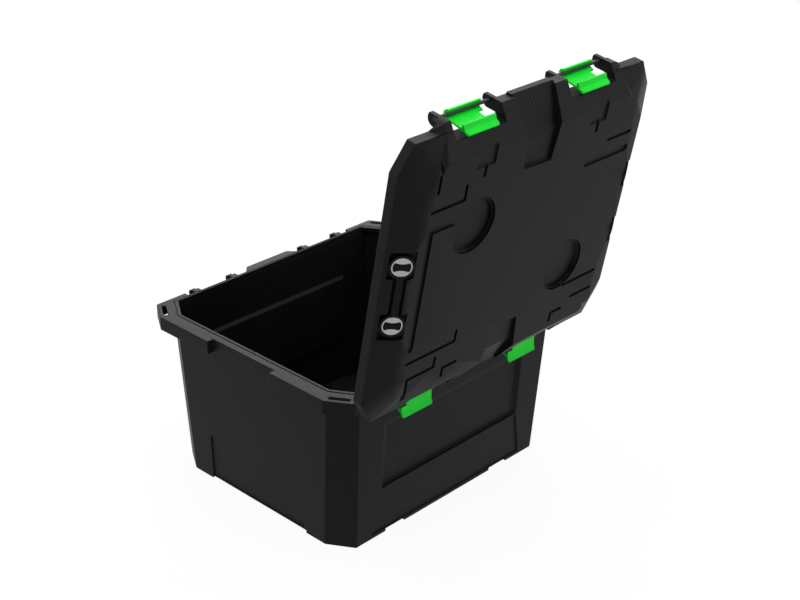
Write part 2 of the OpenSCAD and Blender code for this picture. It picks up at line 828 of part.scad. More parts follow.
// Ribs under the flat top, and the rib that finds the opening
stiffener_x_shares = [-0.72, -0.36, 0, 0.36, 0.72];
stiffener_y_shares = [-0.66, 0, 0.66];
module lid_ribs() {
    low = lid_top_z - panel_thickness - stiffener_depth;
    intersection() {
        lid_body(lid_wall / 2, panel_thickness / 2);
        union() {
            for (share = stiffener_x_shares)
                translate([share * panel_half[0] - stiffener_thickness / 2, -panel_half[1], low])
                    cube([stiffener_thickness, panel_width, stiffener_depth + panel_thickness]);
            for (share = stiffener_y_shares)
                translate([-panel_half[0], share * panel_half[1] - stiffener_thickness / 2, low])
                    cube([panel_length, stiffener_thickness, stiffener_depth + panel_thickness]);
            locating_rib();
        }
    }
}
module locating_rib() {
    outer = drawn_in(opening_half, lid_rib_gap);
    ring_block(outer, drawn_in(outer, lid_wall), lid_z - lid_rib_depth, lid_top_z);
}

module lid_shape() {
    difference() {
        union() {
            // shell with its raised sides, hollow from below
            difference() {
                union() {
                    lid_body(0, 0);
                    both_sides() label_edge();
                }
                difference() {
                    lid_body(lid_wall, panel_thickness);
                    deep_recesses(lid_wall);
                }
                notch_spaces();
            }
            lid_ribs();
            ears();
            notch_wall();
        }
        deep_recesses(0);
        top_grooves();
        both_sides()
            translate([0, rod_y - label_hole, raised_low_z - over])
                cylinder(d = label_hole, h = lid_height + over);
        // holes for the locks
        both_ends()
            on_end_slope()
                for (side = [-1, 1])
                    translate([pocket_down, side * lock_y, -pocket_depth - 2 * over])
                        cylinder(r = shank_diameter / 2 + 2 * seat, h = 3 * over);
    }
}

module lid_shell() {
    color([0.05, 0.05, 0.055]) lid_at_rest() lid_shape();
}

// RODS
module rod(side_x, side_y) {
    length = notch_length + 2 * ear_thickness - 2 * seat;
    color([0.09, 0.09, 0.1])
        lid_at_rest()
            translate([side_x * site_x - length / 2, side_y * rod_y, rod_z])
                rotate([0, 90, 0])
                    cylinder(r = rod_radius, h = length);
}

// LATCHES
// Latch in its locked place: the rod is the X axis, the lever hangs down, Y points away from the box
module latch_shape() {
    bore = rod_radius + rod_fit;
    inner = lever_face - lever_thickness;
    catch_top = -keeper_drop - catch_play;
    lip_top = -lever_length + lip_length;
    difference() {
        union() {
            // roll, open below so that it snaps over the rod
            along_x(-latch_length / 2, latch_length / 2)
                difference() {
                    circle(r = roll_radius);
                    translate([-over, -over - mouth_drop]) square([2 * over, over]);
                }
            // neck, lever, finger lip that leans out, and catch that reaches under the keeper
            along_x(-latch_length / 2, latch_length / 2)
                polygon([[bore + 2 * seat, 0], [roll_radius, 0], [lever_face, -roll_radius],
                         [lever_face, lip_top], [lever_face + lip_flare, -lever_length],
                         [inner + lip_flare, -lever_length - lever_thickness / 2],
                         [inner, lip_top], [-catch_reach, catch_top - catch_thickness],
                         [-catch_reach, catch_top], [inner, catch_top],
                         [inner, -roll_radius]]);
        }
        // rod's bore
        rotate([0, 90, 0])
            cylinder(r = bore, h = latch_length + over, center = true);
        // cut corners of the lever
        for (side = [-1, 1])
            translate([side * latch_length / 2, 0, -lever_length - lever_thickness])
                rotate([0, side * 45, 0])
                    cube([lever_corner * sqrt(2), over * 2, lever_corner * sqrt(2) * 2],
                         center = true);
        // window between the roll and the catch at one end
        translate([latch_length / 2 - window_length, -over, -window_drop - window_height])
            cube([window_length + over, 2 * over, window_height]);
    }
}

// Latch of one site: side_y is 1 at the hinge side, and turn is how far it stands open
module latch(side_x, side_y, turn) {
    translate([side_x * site_x, side_y * rod_y, rod_z])
        rotate([side_y * turn, 0, 0])
            rotate([0, 0, side_y > 0 ? 0 : 180])
                latch_shape();
}

latch_green = [0.0, 0.72, 0.13];

// TIE-DOWN BARS AND LOCKS
module at_lid_end(side_x) {
    lid_at_rest()
        if (side_x > 0) on_end_slope() children();
        else mirror([1, 0, 0]) on_end_slope() children();
}

module tie_bar(side_x) {
    color([0.06, 0.06, 0.065])
        at_lid_end(side_x)
            translate([pocket_down, 0, 0])
                difference() {
                    union() {
                        for (side = [-1, 1])
                            translate([0, side * lock_y, -pocket_depth])
                                cylinder(r = boss_diameter / 2, h = pocket_depth - boss_below);
                        translate([-bar_width / 2, -lock_y, -bar_thickness])
                            cube([bar_width, 2 * lock_y, bar_thickness]);
                    }
                    for (side = [-1, 1])
                        translate([0, side * lock_y, 0]) {
                            translate([0, 0, lock_top - disc_thickness - seat])
                                cylinder(r = disc_diameter / 2 + seat, h = disc_thickness + over);
                            translate([0, 0, -pocket_depth - over])
                                cylinder(r = shank_diameter / 2 + rod_fit, h = pocket_depth + 2 * over);
                        }
                }
}

// Top of the discs, in the height of the slope's frame
lock_top = -boss_below - disc_below;

// Waisted outline of a lock's grip: a disc segment with two round bites
module grip_outline(grow) {
    half = grip_length / 2 + grow;
    wide = grip_width / 2 + grow;
    bite = (grip_width - grip_waist) / 2;
    bite_radius = (pow(grip_length / 2, 2) / 2 + bite * bite) / (2 * bite);
    difference() {
        intersection() {
            circle(r = half);
            translate([-half, -wide]) square([2 * half, 2 * wide]);
        }
        for (side = [-1, 1])
            translate([0, side * (grip_waist / 2 + bite_radius)]) circle(r = bite_radius - grow);
    }
}

module lock_place(side_x, side_y) {
    at_lid_end(side_x) translate([pocket_down, side_y * lock_y, 0]) children();
}

module lock_disc(side_x, side_y) {
    color([0.78, 0.79, 0.81])
        lock_place(side_x, side_y)
            translate([0, 0, lock_top - disc_thickness])
                difference() {
                    cylinder(r = disc_diameter / 2, h = disc_thickness);
                    translate([0, 0, -over]) linear_extrude(height = 3 * over) grip_outline(seat / 2);
                }
}

module lock_grip(side_x, side_y) {
    floor_z = -pocket_depth - lid_wall;
    color([0.04, 0.04, 0.045])
        lock_place(side_x, side_y)
            difference() {
                union() {
                    translate([0, 0, lock_top - disc_thickness])
                        linear_extrude(height = disc_thickness) grip_outline(0);
                    translate([0, 0, floor_z - clip_thickness - seat])
                        cylinder(r = shank_diameter / 2,
                                 h = lock_top - disc_thickness / 2 - floor_z + clip_thickness + seat);
                }
                // finger slots along the grip, which leave a rib between them
                for (side = [-1, 1])
                    translate([-grip_length / 2 + grip_waist / 4,
                               side * grip_waist / 4 - grip_waist / 8,
                               lock_top - grip_slot_depth])
                        cube([grip_length - grip_waist / 2, grip_waist / 4, over]);
            }
}

module lock_clip(side_x, side_y) {
    floor_z = -pocket_depth - lid_wall;
    color([0.6, 0.61, 0.63])
        lock_place(side_x, side_y)
            translate([0, 0, floor_z - clip_thickness - seat])
                difference() {
                    cylinder(r = clip_diameter / 2, h = clip_thickness);
                    translate([0, 0, -over])
                        cylinder(r = shank_diameter / 2 + seat / 4, h = clip_thickness + 2 * over);
                }
}

tub_shell();
lid_shell();
rod(-1, -1);  // rod_front_left
rod(1, -1);  // rod_front_right
rod(-1, 1);  // rod_rear_left
rod(1, 1);  // rod_rear_right
color(latch_green) lid_at_rest() latch(-1, -1, front_latch_turn);  // latch_front_left
color(latch_green) lid_at_rest() latch(1, -1, front_latch_turn);  // latch_front_right
color(latch_green) latch(-1, 1, 0);  // latch_rear_left
color(latch_green) latch(1, 1, 0);  // latch_rear_right
tie_bar(-1);  // tie_bar_left
tie_bar(1);  // tie_bar_right
lock_disc(-1, -1);  // lock_disc_left_front
lock_disc(-1, 1);  // lock_disc_left_rear
lock_disc(1, -1);  // lock_disc_right_front
lock_disc(1, 1);  // lock_disc_right_rear
lock_grip(-1, -1);  // lock_grip_left_front
lock_grip(-1, 1);  // lock_grip_left_rear
lock_grip(1, -1);  // lock_grip_right_front
lock_grip(1, 1);  // lock_grip_right_rear
lock_clip(-1, -1);  // lock_clip_left_front
lock_clip(-1, 1);  // lock_clip_left_rear
lock_clip(1, -1);  // lock_clip_right_front
lock_clip(1, 1);  // lock_clip_right_rear
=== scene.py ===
import json
import math

import bmesh
import bpy
from mathutils import Matrix, Vector
from mathutils.bvhtree import BVHTree


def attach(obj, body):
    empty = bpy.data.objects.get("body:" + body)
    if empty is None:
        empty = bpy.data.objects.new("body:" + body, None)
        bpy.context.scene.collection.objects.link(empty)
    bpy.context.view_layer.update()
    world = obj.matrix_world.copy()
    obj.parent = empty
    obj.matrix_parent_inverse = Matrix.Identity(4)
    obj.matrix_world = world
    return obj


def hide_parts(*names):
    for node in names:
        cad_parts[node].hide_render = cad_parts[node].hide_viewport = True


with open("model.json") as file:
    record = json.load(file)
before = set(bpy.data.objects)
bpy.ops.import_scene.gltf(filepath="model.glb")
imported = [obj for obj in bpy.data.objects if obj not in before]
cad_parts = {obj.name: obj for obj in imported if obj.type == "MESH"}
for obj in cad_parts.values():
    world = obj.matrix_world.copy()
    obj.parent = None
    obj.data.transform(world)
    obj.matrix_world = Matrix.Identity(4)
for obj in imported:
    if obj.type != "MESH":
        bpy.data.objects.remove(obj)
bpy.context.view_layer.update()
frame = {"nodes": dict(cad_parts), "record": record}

bl_info = {
    "name": "Overland Storage Box",
    "version": (1, 0, 0),
    "blender": (4, 5, 0),
    "location": "View3D > Sidebar > Storage Box",
    "description": "Moulded storage box with a hinged lid, turning latches and tie-down bars",
    "category": "Object",
}

NODES = frame["nodes"]
BODY_OF = {node: body for body, nodes in frame["record"]["behaviour"]["bodies"].items()
           for node in nodes}
SLOT_OF = {part["node"]: part["material_slot"] for part in frame["record"]["subparts"]}

# Turning a CAD copy into whole faces: when places are one, and when two faces are one flat face
MERGE_DISTANCE = 0.00002
FLAT_ANGLE = math.radians(0.6)
FLAT_COSINE = math.cos(FLAT_ANGLE)
JOINING_ROUNDS = 3
FLAT_NUMBER = "flat_number"

# Rounding edges: which are sharp, and how much of a face's room a rounding may take
SHARP_ANGLE = math.radians(24.0)
CHAIN_ANGLE = math.radians(50.0)
CORNER_SHARE = 0.45
SIDE_SHARE = 0.42
NEAR_GAP = 0.012
UNLIMITED = 1.0
TINY_LENGTH_SQUARED = 1e-18

# Finding and mending what a rounding folds over
TINY_AREA = 1e-10
PLANE_GAP = 0.00001
LEVEL_COSINE = 0.999
FOLD_COSINE = -0.3
STRAY_SHARE = 1.5
LARGEST_CORNER_FACE = 4
ROUNDING_TRIES = 7
HALVING_TRIES = 3
ROUNDING_SEGMENTS = 3
BAR_EDGE_FACTOR = 2

# Shading of the finished pieces
SMOOTH_ANGLE = math.radians(38.0)
EVEN_SHADING_WEIGHT = 60
SHELL_SPECULAR = 0.085
LATCH_SPECULAR = 0.16
SHELL_IOR = 1.49
LATCH_IOR = 1.5


# Sizes and colours that a user may change

class BoxSizes(bpy.types.PropertyGroup):
    """Sizes of the rounded edges and of the studio."""
    shell_edge: bpy.props.FloatProperty(
        name="Shell edge", description="Rounding of the tub's and the lid's edges",
        default=0.0016, min=0.0002, max=0.004, unit="LENGTH")
    latch_edge: bpy.props.FloatProperty(
        name="Latch edge", description="Rounding of the latches' edges",
        default=0.0008, min=0.0001, max=0.002, unit="LENGTH")
    small_edge: bpy.props.FloatProperty(
        name="Small edge", description="Rounding of the edges of rods, bars and locks",
        default=0.0005, min=0.0001, max=0.0015, unit="LENGTH")
    floor_size: bpy.props.FloatProperty(
        name="Floor size", description="Side of the square floor",
        default=14.0, min=2.0, max=60.0, unit="LENGTH")


class BoxFinish(bpy.types.PropertyGroup):
    """Colours and surface qualities."""
    shell_color: bpy.props.FloatVectorProperty(
        name="Shell", description="Colour of the tub and the lid",
        default=(0.0048, 0.0048, 0.0052), size=3, min=0.0, max=1.0, subtype="COLOR")
    shell_roughness: bpy.props.FloatProperty(
        name="Shell roughness", description="Roughness of the grained shell",
        default=0.47, min=0.1, max=0.9)
    latch_color: bpy.props.FloatVectorProperty(
        name="Latch", description="Colour of the latches",
        default=(0.0, 0.60, 0.022), size=3, min=0.0, max=1.0, subtype="COLOR")
    bar_color: bpy.props.FloatVectorProperty(
        name="Tie-down bar", description="Colour of the tie-down bars and grips",
        default=(0.0035, 0.0035, 0.0038), size=3, min=0.0, max=1.0, subtype="COLOR")
    disc_color: bpy.props.FloatVectorProperty(
        name="Lock disc", description="Colour of the polished lock discs",
        default=(0.34, 0.34, 0.35), size=3, min=0.0, max=1.0, subtype="COLOR")


# Shader maths

# Places of the sockets that a number names better than a word
OBJECT_COORDINATES = 3
MIX_FACTOR, MIX_FIRST, MIX_SECOND = 0, 6, 7
MIX_RESULT = 2


class Term:
    """An output socket; arithmetic on it adds Math nodes."""

    def __init__(self, shade, socket):
        self.shade = shade
        self.socket = socket

    def math(self, operation, *others, clamp=False):
        values = {index: other for index, other in enumerate((self,) + others)}
        return self.shade.node("ShaderNodeMath", {"operation": operation, "use_clamp": clamp},
                               values)

    def __add__(self, other):
        return self.math("ADD", other)

    def __sub__(self, other):
        return self.math("SUBTRACT", other)

    def __mul__(self, other):
        return self.math("MULTIPLY", other)

    def __rsub__(self, other):
        return self.shade.node("ShaderNodeMath", {"operation": "SUBTRACT"}, {0: other, 1: self})

    __radd__ = __add__
    __rmul__ = __mul__

    def clamped(self):
        return self.math("ADD", 0.0, clamp=True)

    def ramp(self, low, high):
        """0 below low, 1 above high, smooth between."""
        return self.shade.node(
            "ShaderNodeMapRange", {"interpolation_type": "SMOOTHSTEP"},
            {"Value": self, "From Min": low, "From Max": high})


class NodeTree:
    """A node tree while its nodes are put together."""

    def __init__(self, tree):
        self.tree = tree

    def node(self, kind, settings=None, values=None, output=0):
        made = self.tree.nodes.new(kind)
        for key, value in (settings or {}).items():
            setattr(made, key, value)
        for key, value in (values or {}).items():
            self.feed(made.inputs[key], value)
        return Term(self, made.outputs[output]) if made.outputs else None

    def feed(self, socket, value):
        if isinstance(value, Term):
            self.tree.links.new(value.socket, socket)
        else:
            socket.default_value = value

    def not_lighting(self):
        """1 for what the eye, a reflection or clear stuff sees, 0 for what only lights."""
        path = self.tree.nodes.new("ShaderNodeLightPath")
        camera, glossy, clear = (Term(self, path.outputs[name]) for name in (
            "Is Camera Ray", "Is Glossy Ray", "Is Transmission Ray"))
        return (camera + glossy + clear).clamped()


class Shade(NodeTree):
    """A material while its nodes are put together."""

    def __init__(self, name):
        self.material = bpy.data.materials.new(name)
        self.material.use_nodes = True
        super().__init__(self.material.node_tree)
        self.surface = self.tree.nodes["Principled BSDF"]

    def set(self, **values):
        for key, value in values.items():
            self.feed(self.surface.inputs[key.replace("_", " ")], value)

    def gloss(self, ior, specular):
        """Set the reflections, which are the same all over the surface."""
        self.surface.inputs["IOR"].default_value = ior
        self.surface.inputs["Specular IOR Level"].default_value = specular

    def place(self):
        return self.node("ShaderNodeTexCoord", output=OBJECT_COORDINATES)

    def noise(self, scale, detail=2.0, roughness=0.5, place=None):
        return self.node("ShaderNodeTexNoise", {"noise_dimensions": "3D"},
                         {"Vector": place or self.place(), "Scale": scale, "Detail": detail,
                          "Roughness": roughness})

    def stretched(self, scale):
        return self.node("ShaderNodeMapping", {}, {"Vector": self.place(), "Scale": scale})

    def mix(self, factor, first, second):
        return self.node("ShaderNodeMix", {"data_type": "RGBA"},
                         {MIX_FACTOR: factor, MIX_FIRST: first, MIX_SECOND: second},
                         output=MIX_RESULT)

    def bump(self, height, distance, strength=1.0, normal=None):
        values = {"Height": height, "Distance": distance, "Strength": strength}
        if normal is not None:
            values["Normal"] = normal
        return self.node("ShaderNodeBump", {}, values)


def shade_color(color, factor):
    return tuple(min(1.0, part * factor) for part in color) + (1.0,)


# Grains and marks per metre, along each axis where they are drawn out
GRAIN_SCALE = 2400.0
PEBBLE_SCALE = 1100.0
FLOW_SCALE = 7.0
DUST_SCALE = 38.0
SCUFF_SCALES = (30.0, 210.0, 60.0)
PEEL_SCALE = 420.0
PATCH_SCALE = 60.0
RUB_SCALES = (160.0, 900.0, 900.0)
HAIRLINE_SCALES = (900.0, 2600.0, 420.0)
DULL_SCALE = 150.0

# Heights of the marks in metres, as the Bump nodes take them
GRAIN_HEIGHT = 0.0001
FLOW_HEIGHT = 0.0012
PEEL_HEIGHT = 0.00012
HAIRLINE_HEIGHT = 0.00003

# Colours and roughness of the finishes that a user has no need to change
LATCH_ROUGHNESS = 0.38
ROD_COLOR = (0.03, 0.03, 0.032)
ROD_ROUGHNESS = 0.34
BAR_ROUGHNESS = 0.40
DISC_ROUGHNESS = 0.16
STEEL_COLOR = (0.55, 0.56, 0.58)
STEEL_ROUGHNESS = 0.34
SHELL_LIFT = 1.7
BAR_LIFT = 1.5


def grained_plastic(name, color, roughness, lift):
    """Spark-eroded moulded plastic: fine grain, slow flow marks, faint scuffs and dust."""
    shade = Shade(name)
    grain = shade.noise(GRAIN_SCALE, detail=2.0, roughness=0.6)
    pebble = shade.node("ShaderNodeTexVoronoi", {"feature": "SMOOTH_F1"},
                        {"Vector": shade.place(), "Scale": PEBBLE_SCALE, "Smoothness": 0.8})
    flow = shade.noise(FLOW_SCALE, detail=3.0, roughness=0.55)
    cloud = shade.noise(DUST_SCALE, detail=4.0, roughness=0.6)
    scuffs = shade.noise(1.0, detail=5.0, roughness=0.65,
                         place=shade.stretched(SCUFF_SCALES)).ramp(low=0.66, high=0.82)
    dust = cloud.ramp(low=0.5, high=0.78) * 0.35
    tone = (flow.ramp(low=0.35, high=0.7) * 0.30 + dust * 0.55 + scuffs * 0.35).clamped()
    slow_waves = shade.bump(flow, distance=FLOW_HEIGHT, strength=0.25)
    shade.set(
        Base_Color=shade.mix(tone, shade_color(color, 0.92), shade_color(color, lift)),
        Roughness=(flow * 0.08 + grain * 0.10 + (roughness - 0.09) + scuffs * 0.08).clamped(),
        Normal=shade.bump(grain * 0.55 + pebble * 0.45, distance=GRAIN_HEIGHT, strength=0.35,
                          normal=slow_waves))
    shade.gloss(SHELL_IOR, SHELL_SPECULAR)
    return shade.material


def gloss_plastic(name, color, roughness):
    """Semi-gloss coloured plastic with a faint orange peel and worn lighter patches."""
    shade = Shade(name)
    peel = shade.noise(PEEL_SCALE, detail=2.0, roughness=0.5)
    patch = shade.noise(PATCH_SCALE, detail=3.0, roughness=0.55)
    rub = shade.noise(1.0, detail=4.0, roughness=0.6,
                      place=shade.stretched(RUB_SCALES)).ramp(low=0.62, high=0.8)
    tone = (patch.ramp(low=0.35, high=0.7) * 0.5 + rub * 0.3).clamped()
    shade.set(
        Base_Color=shade.mix(tone, shade_color(color, 0.94), shade_color(color, 1.08)),
        Roughness=(patch * 0.10 + (roughness - 0.05) + rub * 0.12).clamped(),
        Normal=shade.bump(peel, distance=PEEL_HEIGHT, strength=0.25))
    shade.gloss(LATCH_IOR, LATCH_SPECULAR)
    return shade.material


def polished_metal(name, color, roughness):
    """Turned and polished metal with hairline marks and a little dulling."""
    shade = Shade(name)
    hair = shade.noise(1.0, detail=3.0, roughness=0.5, place=shade.stretched(HAIRLINE_SCALES))
    dull = shade.noise(DULL_SCALE, detail=4.0, roughness=0.6)
    shade.set(
        Base_Color=shade.mix(dull.ramp(low=0.4, high=0.75) * 0.35, shade_color(color, 1.0),
                             shade_color(color, 0.86)),
        Metallic=1.0,
        Roughness=(hair * 0.08 + dull * 0.08 + (roughness - 0.06)).clamped(),
        Normal=shade.bump(hair, distance=HAIRLINE_HEIGHT, strength=0.3))
    return shade.material


# Material of each of the record's slots
MATERIAL_OF = {"black_plastic": "shell plastic", "green_plastic": "latch plastic",
               "rod_black": "rod plastic", "bar_black": "bar plastic",
               "polished_metal": "polished disc", "spring_steel": "spring steel"}


def make_finishes(look):
    """Make the materials, once."""
    grained_plastic("shell plastic", look.shell_color, look.shell_roughness, SHELL_LIFT)
    gloss_plastic("latch plastic", look.latch_color, LATCH_ROUGHNESS)
    gloss_plastic("rod plastic", ROD_COLOR, ROD_ROUGHNESS)
    grained_plastic("bar plastic", look.bar_color, BAR_ROUGHNESS, BAR_LIFT)
    polished_metal("polished disc", look.disc_color, DISC_ROUGHNESS)
    polished_metal("spring steel", STEEL_COLOR, STEEL_ROUGHNESS)


def finish_of(slot):
    """The material of one of the record's slots."""
    if MATERIAL_OF[slot] not in bpy.data.materials:
        make_finishes(bpy.context.scene.box_finish)
    return bpy.data.materials[MATERIAL_OF[slot]]


# Modelling helpers

def alone(piece):
    """Make one object the selected and active one."""
    bpy.ops.object.select_all(action="DESELECT")
    piece.select_set(True)
    bpy.context.view_layer.objects.active = piece


def copy_of(node, name):
    """A piece with its own mesh, started from a CAD node and merged into whole faces."""
    source = NODES[node]
    piece = bpy.data.objects.new(name, source.data.copy())
    bpy.context.scene.collection.objects.link(piece)
    alone(piece)
    if piece.data.has_custom_normals:
        bpy.ops.mesh.customdata_custom_splitnormals_clear()
    bpy.ops.object.mode_set(mode="EDIT")
    bpy.ops.mesh.select_all(action="SELECT")
    bpy.ops.mesh.remove_doubles(threshold=MERGE_DISTANCE)
    bpy.ops.object.mode_set(mode="OBJECT")
    whole_faces(piece.data)
    return piece


def bridge_quality(edge):
    """How squarely an edge inside a flat face meets the sharp edges at its two ends."""
    worst = 1.0
    for vertex in edge.verts:
        along = (edge.other_vert(vertex).co - vertex.co).normalized()
        for other in vertex.link_edges:
            if other is not edge and len(other.link_faces) == 2 \
                    and other.calc_face_angle(0.0) > FLAT_ANGLE:
                side = (other.other_vert(vertex).co - vertex.co).normalized()
                worst = min(worst, along.cross(side).length)
    return worst


def whole_faces(mesh):
    """Join the triangles of each flat face, the worst dividing edges first."""
    work = bmesh.new()
    work.from_mesh(mesh)
    for _ in range(JOINING_ROUNDS):
        flat = [edge for edge in work.edges if len(edge.link_faces) == 2
                and edge.calc_face_angle(1.0) < FLAT_ANGLE]
        flat.sort(key=bridge_quality)
        for edge in flat:
            if not edge.is_valid or len(edge.link_faces) != 2:
                continue
            first, second = edge.link_faces
            if first == second or first.normal.dot(second.normal) < FLAT_COSINE:
                continue
            shared = [other for other in first.edges if second in other.link_faces]
            if len(shared) == 1:
                bmesh.utils.face_join((first, second), True)
        work.normal_update()
    # places in the middle of a straight edge that no other edge needs
    spare = [vertex for vertex in work.verts if len(vertex.link_edges) == 2
             and abs(vertex.calc_edge_angle(1.0)) < FLAT_ANGLE]
    bmesh.ops.dissolve_verts(work, verts=spare)
    number_flats(work)
    work.to_mesh(mesh)
    work.free()


def number_flats(work):
    """Give the faces that lie in one plane and touch each other the same number."""
    layer = work.faces.layers.int.new(FLAT_NUMBER)
    number = 0
    for face in work.faces:
        if face[layer]:
            continue
        number += 1
        face[layer] = number
        waiting = [face]
        while waiting:
            for edge in waiting.pop().edges:
                if edge.calc_face_angle(1.0) < FLAT_ANGLE:
                    for other in edge.link_faces:
                        if not other[layer] and other.normal.dot(face.normal) > FLAT_COSINE:
                            other[layer] = number
                            waiting.append(other)


def gap_between(place, start, end):
    """Distance of a place from a straight line between two others."""
    along = end - start
    run = max(along.length_squared, TINY_LENGTH_SQUARED)
    part = max(0.0, min(1.0, (place - start).dot(along) / run))
    return (start + along * part - place).length


def edge_room(mesh):
    """For each sharp edge, the widest rounding that its faces leave room for."""
    work = bmesh.new()
    work.from_mesh(mesh)
    work.edges.index_update()
    layer = work.faces.layers.int[FLAT_NUMBER]
    sharp = {edge.index for edge in work.edges if len(edge.link_faces) == 2
             and edge.calc_face_angle(0.0) > SHARP_ANGLE}
    room = {index: UNLIMITED for index in sharp}

    def limit(edge, widest):
        if edge.index in room:
            room[edge.index] = min(room[edge.index], widest)

    groups = {}
    for face in work.faces:
        groups.setdefault(face[layer], []).append(face)
        for loop in face.loops:
            ahead, behind = loop.edge, loop.link_loop_prev.edge
            if not loop.is_convex:
                continue
            angle = loop.calc_angle()
            sharp_pair = (ahead.index in sharp, behind.index in sharp)
            if all(sharp_pair):
                for edge in (ahead, behind):
                    share = CORNER_SHARE * edge.calc_length() * math.tan(angle / 2)
                    limit(ahead, share)
                    limit(behind, share)
            elif any(sharp_pair):
                side = behind if sharp_pair[0] else ahead
                if side.calc_face_angle(0.0) > FLAT_ANGLE:
                    reach = SIDE_SHARE * side.calc_length() * math.sin(angle)
                    limit(ahead, reach)
                    limit(behind, reach)
    # places of a flat face that lie close to another edge of it
    for faces in groups.values():
        rim = {edge for face in faces for edge in face.edges
               if any(other[layer] != face[layer] for other in edge.link_faces)}
        corners = {vertex for edge in rim for vertex in edge.verts}
        for vertex in corners:
            near = [edge for edge in vertex.link_edges if edge.index in sharp]
            if not near:
                continue
            for other in rim:
                if vertex in other.verts:
                    continue
                if (other.verts[0].co - vertex.co).length > NEAR_GAP + other.calc_length():
                    continue
                gap = gap_between(vertex.co, other.verts[0].co, other.verts[1].co)
                if gap < NEAR_GAP:
                    for edge in near:
                        if edge not in rim or not set(edge.verts) & set(other.verts):
                            limit(edge, gap * SIDE_SHARE)
                            limit(other, gap * SIDE_SHARE)
    level_chains(work, sharp, room)
    work.free()
    return room


def level_chains(work, sharp, room):
    """Give sharp edges that run on into each other nearly straight the same width."""
    chain = {index: index for index in sharp}

    def head(index):
        while chain[index] != index:
            chain[index] = chain[chain[index]]
            index = chain[index]
        return index

    for vertex in work.verts:
        meeting = [edge for edge in vertex.link_edges if edge.index in sharp]
        for place, first in enumerate(meeting):
            for second in meeting[place + 1:]:
                turn = (first.other_vert(vertex).co - vertex.co).angle(
                    vertex.co - second.other_vert(vertex).co, 0.0)
                if turn < CHAIN_ANGLE:
                    chain[head(first.index)] = head(second.index)
    least = {}
    for index in sharp:
        least[head(index)] = min(least.get(head(index), UNLIMITED), room[index])
    for index in sharp:
        room[index] = least[head(index)]


def refill_flats(mesh, planes):
    """Fill a flat face afresh where the rounding made its parts fold over each other."""
    work = bmesh.new()
    work.from_mesh(mesh)
    layer = work.faces.layers.int[FLAT_NUMBER]
    groups = {}
    for face in work.faces:
        normal, height = planes[face[layer]]
        if all(abs(vertex.co.dot(normal) - height) < PLANE_GAP for vertex in face.verts) \
                and face.calc_area() > 0.0 and abs(face.normal.dot(normal)) > LEVEL_COSINE:
            groups.setdefault(face[layer], []).append(face)
    folded = set()
    for loops in work.calc_loop_triangles():
        face = loops[0].face
        first, second, third = (loop.vert.co for loop in loops)
        normal = (second - first).cross(third - first)
        if face[layer] in groups and normal.length > TINY_AREA \
                and normal.dot(planes[face[layer]][0]) < 0.0:
            folded.add(face[layer])
    for number in folded:
        faces = set(groups[number])
        edges = {edge for face in faces for edge in face.edges}
        rim = [edge for edge in edges if len(set(edge.link_faces) & faces) == 1]
        inside = [edge for edge in edges if edge not in set(rim)]
        bmesh.ops.delete(work, geom=list(faces), context="FACES_ONLY")
        bmesh.ops.delete(work, geom=[edge for edge in inside if edge.is_valid], context="EDGES")
        rim = [edge for edge in rim if edge.is_valid]
        made = bmesh.ops.triangle_fill(work, use_beauty=True, use_dissolve=False, edges=rim,
                                       normal=planes[number][0])
        for face in made["geom"]:
            if isinstance(face, bmesh.types.BMFace):
                face[layer] = number
                face.normal_update()
                if face.normal.dot(planes[number][0]) < 0.0:
                    face.normal_flip()
    work.to_mesh(mesh)
    work.free()
    return len(folded)


def folded_places(piece, original, width):
    """Places where a rounding folds a face over or throws a corner out."""
    mesh = piece.data
    mesh.calc_loop_triangles()
    bad = []
    for triangle in mesh.loop_triangles:
        if triangle.area > TINY_AREA and \
                triangle.normal.dot(mesh.polygons[triangle.polygon_index].normal) < 0.0:
            bad.append(triangle.center.copy())
    for polygon in mesh.polygons:
        if polygon.area > TINY_AREA and len(polygon.vertices) <= LARGEST_CORNER_FACE:
            normal, distance = original.find_nearest(polygon.center)[1::2]
            if distance > width * STRAY_SHARE or normal.dot(polygon.normal) < FOLD_COSINE:
                bad.append(polygon.center.copy())
    for vertex in mesh.vertices:
        if original.find_nearest(vertex.co)[3] > width * STRAY_SHARE:
            bad.append(vertex.co.copy())
    return bad


